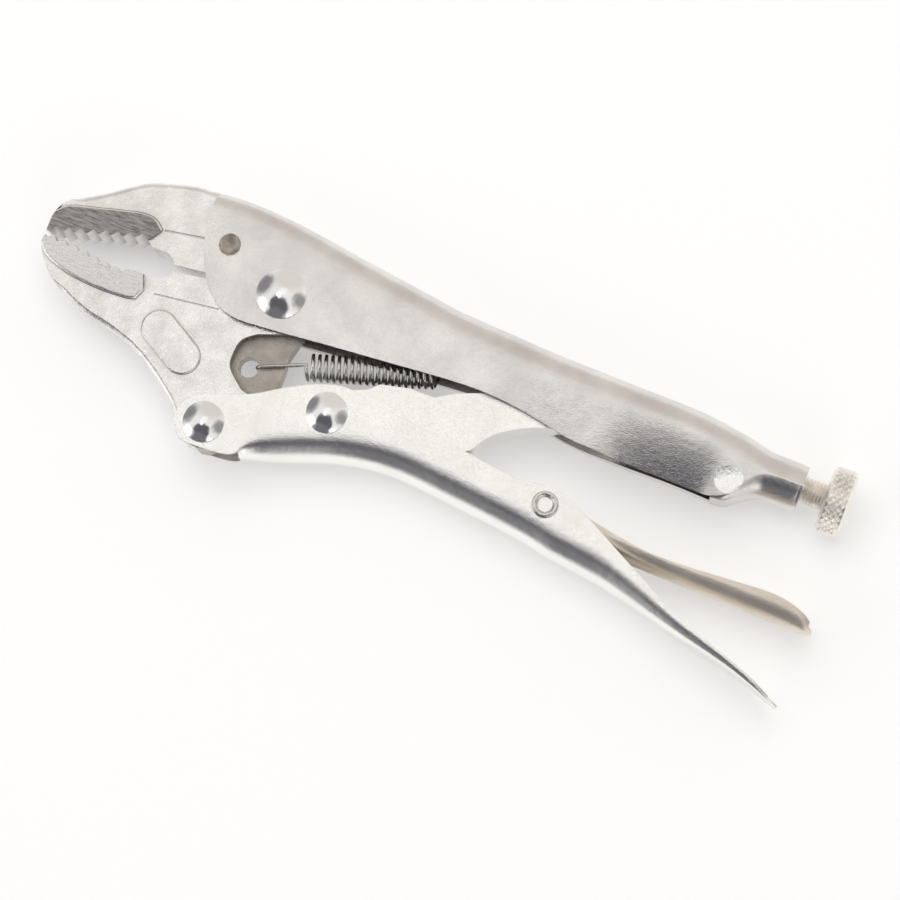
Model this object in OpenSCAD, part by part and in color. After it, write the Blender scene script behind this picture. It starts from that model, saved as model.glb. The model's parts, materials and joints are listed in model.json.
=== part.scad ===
// Locking pliers, 250 mm class, shown closed and locked.
// Modelling frame: the origin is the main pivot, +X runs along the adjusting
// screw towards its knob, +Y towards the back of the upper handle and +Z along
// the pivot axes. in_frame() then moves the whole tool so that the origin is
// the middle of its outline, level with its lowest rivet head.

/* [Jaws] */
// Thickness of the forged jaws
jaw_thick = 11; // [10.4:0.2:11]
// Width across the cheeks of the tooth blocks
tooth_block_w = 13; // [11.6:0.2:14]
// Distance between two teeth
tooth_pitch = 3.5; // [2.5:0.1:4.5]
// Depth of a tooth
tooth_depth = 1.5; // [0.8:0.1:2]
// Thickness of the thinned web that holds the spring
spring_web = 5; // [3:0.2:6]

/* [Handles] */
// Width across the upper handle
upper_w = 15.6; // [15:0.2:17]
// Width across the lower handle behind its ears
lower_w = 16.4; // [16:0.2:18]
// Thickness of the handle sheet at the back of the channel
sheet = 2.2; // [1.6:0.1:2.6]
// Width inside the upper handle and between the ears
channel_w = 11.2; // [11.2:0.1:11.6]

/* [Pivots] */
// Radius of the shanks of the three large rivets
shank_r = 4; // [3:0.1:4.5]
// Radial clearance of a turning rivet
fit = 0.06; // [0.02:0.01:0.1]
// Radius of the main rivet's domed head
main_head_r = 7.3; // [6:0.1:8]
// Height of the main rivet's domed head
main_head_h = 3; // [2:0.1:3.5]
// Radius of the domed heads at the jaw and the link
small_head_r = 6; // [5:0.1:6.5]
// Height of the domed heads at the jaw and the link
small_head_h = 2.5; // [1.5:0.1:3]
// Radius of the tubular rivet under its flange
tube_rivet_r = 2.6; // [2:0.1:3]

/* [Toggle link] */
// Width across the link's cheeks
link_w = 10.9; // [10:0.1:11]
// Thickness of the link sheet
link_sheet = 1.2; // [0.8:0.1:1.6]

/* [Adjusting screw] */
// Outside radius of the thread
thread_r = 4; // [3.5:0.1:4.4]
// Distance between two turns of the thread
thread_pitch = 1; // [1:0.25:2]
// Radius of the knurled knob
knob_r = 10; // [8:0.5:11]
// Length of the knurled knob
knob_l = 7.3; // [5:0.1:10]
// Number of notches round the knob
knob_notches = 30; // [12:1:36]

/* [Return spring] */
// Outside radius of the coil
coil_r = 4.2; // [3.5:0.1:4.2]
// Radius of the spring wire
wire_r = 0.55; // [0.4:0.05:0.7]
// Number of turns of the coil
coil_turns = 20; // [12:1:22]

/* [Release lever] */
// Width across the release lever
lever_w = 11.4; // [10:0.2:11.6]
// Thickness of the lever sheet
lever_sheet = 1.3; // [1:0.1:1.6]

/* [Hidden] */

steel = [0.78, 0.77, 0.75];
ground_steel = [0.55, 0.54, 0.53];
polished = [0.88, 0.88, 0.88];
dark_wire = [0.25, 0.24, 0.23];
warm_steel = [0.62, 0.58, 0.52];

// Middle of the outline, from the main pivot
outline_mid = [51, -19.6];
// Pivot points on the XY plane
jaw_pivot = [-7.5, -42.5];
link_pivot = [25, -28];
lever_pivot = [92.5, -31.5];
link_nose = [100.5, -1.5];
spring_hole = [-2.2, -22.5];
spring_tab = [62, -2.4];
screw_y = -1.5;

jaw_half = jaw_thick / 2;
channel_half = channel_w / 2;
upper_half = upper_w / 2;
lower_half = lower_w / 2;
ear_half = upper_half - 0.2;
link_half = link_w / 2;
lever_half = lever_w / 2;
lower_channel_half = lower_half - 2;
seat_r = 9.5;
lobe_r = 9.1;

// Adjusting screw, along X
screw_tip_x = link_nose[0] + 8;
tube_end_x = 158.5;
knob_x = 165;
stub_r = 3;
stub_l = 5.5;
thread_depth = 0.5;

// ---------------------------------------------------------------- helpers

// Moves the tool from the main pivot to the middle of its outline
module in_frame()
    translate([-outline_mid[0], -outline_mid[1], upper_half + main_head_h]) children();

// One step of a smooth curve through four points or rows of numbers
function blend4(a, b, c, d, t) =
    0.5 * (2 * b + (c - a) * t + (2 * a - 5 * b + 4 * c - d) * t * t + (3 * b - a - 3 * c + d) * t * t * t);

// A smooth curve through a short list of points or rows of numbers
function curve(p, n = 4) = let (last = len(p) - 1) concat(
    [for (i = [0 : last - 1]) for (k = [0 : n - 1])
        blend4(p[max(i - 1, 0)], p[i], p[i + 1], p[min(i + 2, last)], k / n)],
    [p[last]]);

// An arc as points, from angle a to angle b
function arc(c, r, a, b, n = 8) =
    [for (i = [0 : n]) let (t = a + (b - a) * i / n) [c[0] + r * cos(t), c[1] + r * sin(t)]];

// Cross-section at x: a box with its upper and lower corners rounded
// s = [x, top, bottom, half width, upper corner radius, lower corner radius]
function section(s, n = 5) = let (
    pts = concat(
        arc([s[3] - s[4], s[1] - s[4]], s[4], 0, 90, n),
        arc([s[4] - s[3], s[1] - s[4]], s[4], 90, 180, n),
        arc([s[5] - s[3], s[2] + s[5]], s[5], 180, 270, n),
        arc([s[3] - s[5], s[2] + s[5]], s[5], 270, 360, n)))
    [for (p = pts) [s[0], p[1], p[0]]];

// A solid skinned over a list of rings with the same number of points
module skin(rings) {
    m = len(rings[0]);
    last = len(rings) - 1;
    sides = [for (i = [0 : last - 1]) for (j = [0 : m - 1])
        let (k = (j + 1) % m) each [
            [i * m + j, i * m + k, (i + 1) * m + k],
            [i * m + j, (i + 1) * m + k, (i + 1) * m + j]]];
    front = [[for (j = [0 : m - 1]) m - 1 - j]];
    back = [[for (j = [0 : m - 1]) last * m + j]];
    polyhedron(points = [for (r = rings) each r], faces = concat(sides, front, back), convexity = 6);
}

// Skins the sections of a smooth list of stations
module channel_skin(stations, steps) skin([for (s = curve(stations, steps)) section(s)]);

// A plate with the given outline, centred on the plane of symmetry
module plate(points, half) translate([0, 0, -half]) linear_extrude(2 * half) polygon(points);

// A through bore at a pivot
module bore(at, r) translate([at[0], at[1], -20]) cylinder(r = r, h = 40, $fn = 64);

// A domed rivet head that stands on the plane z
module dome(z, r, h) {
    ball = (r * r + h * h) / (2 * h);
    intersection() {
        translate([0, 0, z + h - ball]) sphere(r = ball, $fn = 96);
        translate([0, 0, z]) cylinder(r = r + 1, h = h + 1, $fn = 64);
    }
}

// A solid rivet with a domed head on both sides
module domed_rivet(at, half, head_r, head_h) translate([at[0], at[1], 0]) {
    translate([0, 0, -half]) cylinder(r = shank_r, h = 2 * half, $fn = 64);
    dome(half, head_r, head_h);
    mirror([0, 0, 1]) dome(half, head_r, head_h);
}

// ---------------------------------------------------------------- upper side

// Stations along the outside of the upper handle
upper_outer = [
    [-28.5, 22.8, 14, upper_half, 5, 0.4],
    [-26, 23.1, 4, upper_half, 5, 0.4],
    [-20, 23.3, -6.5, upper_half, 5, 0.4],
    [-12, 22.9, -11.2, upper_half, 5, 0.4],
    [0, 21.6, -11.1, upper_half, 5.4, 0.4],
    [20, 18.4, -9.6, upper_half, 6.2, 0.4],
    [40, 15.4, -8.3, upper_half, 6.6, 0.4],
    [50, 13.8, -7.6, upper_half, 6.8, 0.4],
    [64, 12.8, -7.2, upper_half, 6.8, 0.4],
    [78, 11.7, -8.7, upper_half, 6.8, 0.4],
    [91, 11.1, -11.5, upper_half, 6.8, 0.4],
    [106, 10.6, -12.5, upper_half, 6.8, 0.4],
    [122, 10, -12.9, upper_half, 6.8, 0.4],
    [134, 8.7, -13.4, 7.6, 6.8, 0.8],
    [139, 7.8, -13.4, 7, 6.6, 3],
    [144, 6.6, -10, 6.9, 6.6, 6],
    [147.5, 5.9, -8.6, 7, 6.9, 6.9],
    [157.7, 5.5, -8.5, 7, 6.9, 6.9],
    [tube_end_x, 5, -8, 6.5, 6.4, 6.4]];

// Stations along the inside, open on the side of the lower handle
upper_inner = [
    [-40, 21, -40, channel_half, 1.2, 1],
    [-20, 21.1, -40, channel_half, 1.2, 1],
    [0, 19.4, -40, channel_half, 2, 1],
    [20, 16.2, -40, channel_half, 4, 1],
    [50, 11.6, -40, channel_half, 5, 1],
    [78, 9.5, -40, channel_half, 5, 1],
    [106, 8.4, -40, channel_half, 5, 1],
    [134, 6.4, -40, channel_half - 0.4, 5, 1],
    [138, 5.4, -40, channel_half - 1, 4.5, 1]];

module upper_handle() color(steel) in_frame() {
    difference() {
        channel_skin(upper_outer, 3);
        channel_skin(upper_inner, 3);
        bore([0, 0], shank_r);
        // plain hole that guides the adjusting screw
        translate([130, screw_y, 0]) rotate([0, 90, 0]) cylinder(r = thread_r + fit, h = 40, $fn = 64);
        // punched dimples that stake the upper jaw
        for (side = [-1, 1]) translate([-19.5, 8.5, side * (upper_half - 1.2)])
            rotate([90 - side * 90, 0, 0]) cylinder(r1 = 1, r2 = 3.2, h = 1.3, $fn = 48);
    }
    // lanced tab inside the back that anchors the return spring
    difference() {
        plate([[57, 12], [67, 11.5], [64, -5], [60, -5]], 1);
        bore(spring_tab, 1.1);
    }
}

// Height of the upper tooth tips and of the lower tooth tips at x
function upper_tip(x) = -5.3 + 0.262 * (x + 72.4);
lower_tips = curve([[-72.4, -5.75], [-66, -6], [-60, -6.6], [-54, -7.6], [-48, -8.2], [-40.5, -7.6]], 4);
function lower_tip(x) = lookup(x, lower_tips);

tooth_from = -71.4;
tooth_count = 8;

// Saw-tooth edge: every tooth has two flanks and a small flat tip
function upper_teeth() = [for (i = [0 : tooth_count - 1]) for (k = [0, 0.12, 0.56])
    let (x = tooth_from + (i + k) * tooth_pitch) [x, upper_tip(x) + (k == 0.56 ? tooth_depth : 0)]];
function lower_teeth() = [for (i = [0 : tooth_count - 1]) for (k = [0, 0.44, 0.56])
    let (x = tooth_from + (i + k) * tooth_pitch) [x, lower_tip(x) - (k == 0 ? tooth_depth : 0)]];

relief = [-37, -3.6];
relief_r = 4.1;

module upper_jaw() color(steel) in_frame() difference() {
    union() {
        plate(concat(
            [[-72.5, -5.2]],
            upper_teeth(),
            [[-43.2, 2.2], [-41, 0.6], [-37, 0.4], [-33.3, -2.2], [-22, -1], [-8, 0.5], [0, 6], [-4, 14], [-12, 18.4],
             [-28.7, 18.4], [-28.7, 22.6]],
            curve([[-35.4, 22.3], [-42, 20.8], [-49.5, 18.4], [-55, 14.9], [-61, 10.8], [-68, 6.6], [-71.4, 3], [-72.6, -1]])),
            channel_half);
        // tooth block, wider than the web
        plate(concat(
            [[-72.2, -5]],
            upper_teeth(),
            [[-43.2, 2.2], [-42, 3]],
            curve([[-40, 6.4], [-43, 8.8], [-47, 9.3], [-52.4, 8.3], [-60.5, 6.3], [-68.7, 4.2], [-72, 1.4]])),
            tooth_block_w / 2);
    }
    bore([0, 0], seat_r);
    bore(relief, relief_r);
    // line that bounds the wire cutter
    for (side = [-1, 1]) translate([0, 0, side * channel_half - 0.25])
        linear_extrude(0.5) polygon([[-39.4, 6.2], [-23, 8.6], [-23, 9.1], [-39.4, 6.7]]);
}

module main_pivot_rivet() color(polished) in_frame()
    domed_rivet([0, 0], upper_half, main_head_r, main_head_h);

// Centre line of the return spring: hook in the jaw, coil, hook on the tab
coil_from = [13.5, -16.4];
coil_to = [50, -5.9];
coil_mean = coil_r - wire_r;
coil_dir = (coil_to - coil_from) / norm(coil_to - coil_from);
coil_up = [-coil_dir[1], coil_dir[0]];
function on_coil(t) = let (
    a = 360 * coil_turns * t + 90,
    p = coil_from + (coil_to - coil_from) * t + coil_up * coil_mean * cos(a))
    [p[0], p[1], coil_mean * sin(a)];
spring_line = concat(
    [[0, -21.9, -2.2], [0, -21.9, 0], [0.1, -21.8, 2.4], [1, -21.4, 3.3], [6, -19.4, 3.5], [11, -17.4, 3.65]],
    [for (i = [0 : coil_turns * 12]) on_coil(i / (coil_turns * 12))],
    [[52.5, -5.3, 3.4], [56, -4.3, 2.6], [60, -3.2, 2.2], [61.7, -2.6, 1.6], [62, -2.4, 0], [62, -2.4, -1.6]]);

// Ring of n points round point i of a line
function wire_ring(line, i, r, n) = let (
    a = line[max(i - 1, 0)],
    b = line[min(i + 1, len(line) - 1)],
    t = (b - a) / norm(b - a),
    side = abs(t[2]) > 0.9 ? [1, 0, 0] : [0, 0, 1],
    u = cross(t, side) / norm(cross(t, side)),
    v = cross(t, u))
    [for (k = [0 : n - 1]) line[i] + r * (cos(360 * k / n) * u + sin(360 * k / n) * v)];

module return_spring() color(dark_wire) in_frame()
    skin([for (i = [0 : len(spring_line) - 1]) wire_ring(spring_line, i, wire_r, 6)]);

// ---------------------------------------------------------------- lower side

lower_edge = curve([[-72.7, -8.5], [-71.2, -11.5], [-68, -15.7], [-64.3, -18.6], [-58.9, -21.9], [-52, -24.4],
    [-45, -26], [-38.5, -28], [-32.5, -30.8], [-27, -34.3], [-20.6, -39.2], [-16.4, -43.4]], 3);

module lower_jaw() color(steel) in_frame() difference() {
    union() {
        plate(concat(
            lower_edge,
            arc(jaw_pivot, 7.4, 190, 320, 8),
            [[1.5, -38.5], [6, -31], [8, -24.7]],
            curve([[8, -20.3], [7.8, -16.3], [9, -10.5], [9.1, -4]], 3),
            arc([0, 0], lobe_r, 0, 175, 12),
            [[-10, -1.6], [-22, -2.7], [-33, -4.1], [-37, -7.4], [-40.6, -7.7]],
            [for (i = [0 : len(lower_teeth()) - 1]) lower_teeth()[len(lower_teeth()) - 1 - i]],
            [[-72.4, -6.2]]),
            jaw_half);
        // tooth block, wider than the web
        plate(concat(
            curve([[-72.3, -9.5], [-70, -12], [-66, -13.9], [-61, -15.3], [-54.8, -16.1], [-48.8, -16.4], [-42.7, -16.2]], 3),
            [[-40, -15.6], [-38.6, -12.4], [-40.6, -7.7]],
            [for (i = [0 : len(lower_teeth()) - 1]) lower_teeth()[len(lower_teeth()) - 1 - i]],
            [[-72.1, -6.4]]),
            tooth_block_w / 2);
        // raised oval pad
        hull() for (p = [[-30.2, -21], [-20.8, -26.6]]) translate([p[0], p[1], -jaw_half - 0.6])
            cylinder(r = 5.3, h = jaw_thick + 1.2, $fn = 32);
    }
    bore([0, 0], shank_r + fit);
    bore(jaw_pivot, shank_r + fit);
    bore(spring_hole, 3);
    bore(relief, relief_r);
    // the web is thin where the spring is hooked in
    for (side = [0, 1]) mirror([0, 0, side]) translate([0, 0, spring_web / 2]) linear_extrude(10)
        polygon(concat([[14, -8], [4, -10.6]], curve([[-2.7, -13], [-6.4, -16], [-7.4, -20.5], [-6.6, -25], [-1.2, -29.8]]),
            [[14, -34]]));
    // line that bounds the wire cutter
    for (side = [-1, 1]) translate([0, 0, side * jaw_half - 0.25])
        linear_extrude(0.5) polygon([[-35.4, -12.4], [-16, -10.3], [-16, -9.8], [-35.4, -11.9]]);
}

// Stations along the outside of the lower handle, from the ears to the tip
lower_outer = [
    [6, -27.8, -47.6, ear_half, 0.4, 5],
    [12, -24.5, -46.6, lower_half, 0.4, 6.4],
    [20, -20.7, -44, lower_half, 0.4, 7],
    [27, -19, -41.5, lower_half, 0.4, 7],
    [33, -20, -39.8, lower_half, 0.4, 7],
    [42, -21.4, -38.3, lower_half, 0.4, 7],
    [52, -22.5, -38.2, lower_half, 0.4, 7],
    [66, -24.7, -39.8, lower_half, 0.4, 7],
    [80, -26.8, -41.5, lower_half, 0.4, 7],
    [91, -26, -43.2, lower_half, 0.4, 7],
    [98, -27, -44.8, lower_half, 0.4, 7],
    [107, -31.6, -46, lower_half, 0.4, 7],
    [114, -35.4, -47.1, lower_half, 0.4, 6.6],
    [122, -39.7, -48.9, lower_half, 0.4, 5.6],
    [130, -44, -51, lower_half, 0.4, 4.6],
    [138, -48.2, -52.9, lower_half, 0.4, 3.4],
    [146, -51, -54.7, 8.1, 0.4, 2.6],
    [155, -54.1, -56.8, 7.8, 0.4, 1.8],
    [163, -57.2, -59.2, 6.9, 0.4, 1.2],
    [169, -60.1, -61.4, 4.8, 0.3, 0.8],
    [172.3, -61.8, -62.6, 2, 0.2, 0.4]];

// Stations along the inside, open on the side of the upper handle
lower_inner = [
    [0, 0, -44, channel_half, 1, 3],
    [6, 0, -45.5, channel_half, 1, 3],
    [12, 0, -44.4, lower_channel_half, 1, 4.4],
    [20, 0, -41.8, lower_channel_half, 1, 5],
    [33, 0, -37.6, lower_channel_half, 1, 5],
    [52, 0, -36, lower_channel_half, 1, 5],
    [80, 0, -39.3, lower_channel_half, 1, 5],
    [98, 0, -42.6, lower_channel_half, 1, 5],
    [114, 0, -45, lower_channel_half, 1, 5],
    [130, 0, -49, lower_channel_half, 1, 4],
    [146, 0, -52.8, lower_channel_half, 1, 3],
    [160, 0, -56.4, lower_channel_half - 0.6, 1, 1]];

module lower_handle() color(steel) in_frame() difference() {
    union() {
        difference() {
            channel_skin(lower_outer, 3);
            channel_skin(lower_inner, 3);
        }
        // two flat ears either side of the lower jaw
        for (side = [0, 1]) mirror([0, 0, side]) translate([0, 0, channel_half]) linear_extrude(ear_half - channel_half)
            polygon(concat(
                [[7, -48], [0, -49.7], [-7, -50]],
                arc(jaw_pivot, 8.6, 240, 140, 8),
                [[-11.6, -35], [-6.9, -33.2], [1, -30.5], [7, -27.4]]));
    }
    bore(jaw_pivot, shank_r);
    bore(link_pivot, shank_r);
    bore(lever_pivot, tube_rivet_r);
}

module jaw_rivet() color(polished) in_frame()
    domed_rivet(jaw_pivot, ear_half, small_head_r, small_head_h);

module link_rivet() color(polished) in_frame()
    domed_rivet(link_pivot, lower_half, small_head_r, small_head_h);

// Tubular rivet with a rolled flange on both sides
module lever_rivet() color(polished) in_frame() translate([lever_pivot[0], lever_pivot[1], 0]) difference() {
    union() {
        translate([0, 0, -lower_half]) cylinder(r = tube_rivet_r, h = lower_w, $fn = 64);
        for (side = [0, 1]) mirror([0, 0, side]) translate([0, 0, lower_half]) {
            cylinder(r = 3.85, h = 0.5, $fn = 64);
            translate([0, 0, 0.5]) cylinder(r1 = 3.85, r2 = 3.2, h = 0.5, $fn = 64);
        }
    }
    for (side = [0, 1]) mirror([0, 0, side]) translate([0, 0, lower_half - 2]) cylinder(r = 1.9, h = 4, $fn = 64);
    for (side = [0, 1]) mirror([0, 0, side]) translate([0, 0, lower_half + 0.2]) cylinder(r1 = 1.9, r2 = 2.7, h = 0.81, $fn = 64);
}

// ---------------------------------------------------------------- toggle link

link_top = [[21, -22.2], [33, -17.4], [36, -14.7], [44, -13], [52, -13], [55.2, -11.1], [57, -10], [75, -2.8], [95, 2.3]];
link_bottom = curve([[98, -5.4], [91, -8.6], [84.5, -10.6], [80.8, -11.8], [74.6, -15.1], [70.1, -18.9], [67, -23.8]], 3);

module toggle_link() color(steel) in_frame() difference() {
    plate(concat(
        link_top,
        arc(link_nose, 4.6, 90, -110, 8),
        link_bottom,
        [[60, -27.5], [45, -31.5]],
        arc(link_pivot, 6.6, 300, 130, 8)),
        link_half);
    // the channel is open on top and ends in front of the solid nose
    plate([[10, -10], [18.6, -20], [21, -24.6], [27, -30.4], [45, -30.2], [59.6, -26.2], [66, -22.6], [69.2, -17.6],
           [74, -13.8], [80.4, -10.4], [88, -8], [91, -5], [92, 10]], link_half - link_sheet);
    bore(link_pivot, shank_r + fit);
}

// ---------------------------------------------------------------- release lever

lever_outer = [
    [70, -29.4, -31.8, lever_half, 0.3, 1.2],
    [80, -27.9, -34.2, lever_half, 0.3, 3],
    [92, -27.4, -36.4, lever_half, 0.3, 4.2],
    [104, -30.2, -37.4, lever_half, 0.3, 4.4],
    [115, -32.4, -38, lever_half, 0.3, 4.4],
    [125, -33.8, -38.6, lever_half, 0.3, 4.2],
    [137, -33.7, -39, lever_half, 0.3, 4.2],
    [150, -33, -39.5, lever_half, 0.3, 4.6],
    [161.5, -32.6, -39.9, lever_half, 0.3, 4.6],
    [168.5, -34.3, -40, 5.3, 0.3, 4],
    [172.6, -36.6, -39.9, 4, 0.3, 2.4],
    [174.8, -38.6, -39.7, 2.2, 0.2, 0.7]];

lever_inner = [
    [60, 0, -31, lever_half - lever_sheet, 1, 1],
    [70, 0, -30.6, lever_half - lever_sheet, 1, 1],
    [80, 0, -32.9, lever_half - lever_sheet, 1, 2],
    [92, 0, -35.1, lever_half - lever_sheet, 1, 3.2],
    [115, 0, -36.7, lever_half - lever_sheet, 1, 3.4],
    [137, 0, -37.7, lever_half - lever_sheet, 1, 3.4],
    [161.5, 0, -38.6, lever_half - lever_sheet, 1, 3.4],
    [168.5, 0, -38.7, 4, 1, 2.8],
    [172.2, 0, -38.5, 2.6, 1, 1]];

module release_lever() color(steel) in_frame() difference() {
    channel_skin(lever_outer, 3);
    channel_skin(lever_inner, 3);
    bore(lever_pivot, tube_rivet_r + fit);
}

// ---------------------------------------------------------------- adjusting screw

// Half profile of the thread along x: one ridge and one groove per turn
screw_len = knob_x - 0.1 - screw_tip_x;
turns = floor((screw_len - 3) / thread_pitch);
screw_profile = concat(
    [[0, 0], [2.2, 0], [3, 0.8]],
    [for (i = [0 : turns - 1]) for (k = [0, 0.3, 0.5, 0.8])
        [thread_r - (k < 0.4 ? thread_depth : 0), 1.6 + (i + k) * thread_pitch]],
    [[thread_r - thread_depth, screw_len], [stub_r, screw_len], [stub_r, screw_len + stub_l], [0, screw_len + stub_l]]);

module adjusting_screw() color(warm_steel) in_frame()
    translate([screw_tip_x, screw_y, 0]) rotate([0, 90, 0]) rotate_extrude($fn = 64) polygon(screw_profile);

module adjusting_knob() color(warm_steel) in_frame()
    translate([knob_x, screw_y, 0]) rotate([0, 90, 0]) difference() {
        rotate_extrude($fn = 96) polygon([[0, 0], [knob_r - 2, 0], [knob_r, 1], [knob_r, knob_l - 1],
            [knob_r - 1, knob_l], [0, knob_l]]);
        translate([0, 0, -1]) cylinder(r = stub_r + fit, h = stub_l + 1.2, $fn = 64);
        for (i = [0 : knob_notches - 1]) rotate([0, 0, i * 360 / knob_notches]) translate([knob_r, 0, -1])
            rotate([0, 0, 45]) cube([0.9, 0.9, 2 * knob_l + 4], center = true);
    }

upper_handle();
upper_jaw();
main_pivot_rivet();
return_spring();
lower_jaw();
lower_handle();
jaw_rivet();
link_rivet();
lever_rivet();
toggle_link();
release_lever();
adjusting_screw();
adjusting_knob();
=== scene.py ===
"""Locking pliers: the visual model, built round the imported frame.

Lengths inside the classes are millimetres in the tool's own frame: the origin is
the main pivot, +X runs along the adjusting screw, +Y towards the back of the
upper handle and +Z along the pivots. at() turns them into scene positions.
"""
import json
import logging
import math
from dataclasses import dataclass
from enum import Enum
from typing import Callable, Sequence

import bmesh
import bpy
from mathutils import Matrix, Vector


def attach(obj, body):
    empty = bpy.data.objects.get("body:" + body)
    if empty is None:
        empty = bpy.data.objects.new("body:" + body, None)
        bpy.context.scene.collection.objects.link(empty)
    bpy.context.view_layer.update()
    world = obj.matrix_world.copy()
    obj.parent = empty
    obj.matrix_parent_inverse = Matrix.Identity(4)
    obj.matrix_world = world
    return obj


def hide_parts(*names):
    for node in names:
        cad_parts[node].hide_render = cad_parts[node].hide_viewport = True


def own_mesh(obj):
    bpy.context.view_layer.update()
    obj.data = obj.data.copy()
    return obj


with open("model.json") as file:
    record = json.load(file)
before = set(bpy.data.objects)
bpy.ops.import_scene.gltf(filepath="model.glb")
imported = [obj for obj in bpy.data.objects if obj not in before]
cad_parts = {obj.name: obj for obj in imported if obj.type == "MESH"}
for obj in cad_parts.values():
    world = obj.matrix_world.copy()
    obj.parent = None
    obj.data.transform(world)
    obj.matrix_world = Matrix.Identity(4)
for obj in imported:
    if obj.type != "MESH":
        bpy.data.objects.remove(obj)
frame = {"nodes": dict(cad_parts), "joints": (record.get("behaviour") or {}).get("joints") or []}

log = logging.getLogger("locking_pliers")

MM = 0.001
# Scene lengths below which two places on one ring count as the same
SAME_PLACE = 1e-7
MERGE_MM = 0.0005
SMALL_HOLE_SIDES = 16
SHEET_SMOOTH_DEG = 40.0
FORGING_SMOOTH_DEG = 35.0
TURNED_SMOOTH_DEG = 32.0
THREAD_SMOOTH_DEG = 24.0
KNURL_SMOOTH_DEG = 20.0
WIRE_SMOOTH_DEG = 50.0
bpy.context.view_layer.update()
JOINTS = {joint["name"]: joint for joint in frame["joints"]}
MAIN_PIVOT = Vector(JOINTS["lower_jaw_hinge"]["pos_m"])


def at(x: float, y: float, z: float = 0.0) -> Vector:
    """Scene position of a point in the tool's own frame, given in millimetres."""
    return MAIN_PIVOT + Vector((x, y, z)) * MM


def joint_point(name: str) -> Vector:
    """A joint's place in the tool's own frame, in millimetres."""
    return (Vector(JOINTS[name]["pos_m"]) - MAIN_PIVOT) / MM


# ------------------------------------------------------------------ workshop

class Grain(Enum):
    """Direction in which a finish is brushed or ground."""

    NONE = (1.0, 1.0, 1.0)
    ALONG_TOOL = (0.12, 1.0, 1.0)


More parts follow.
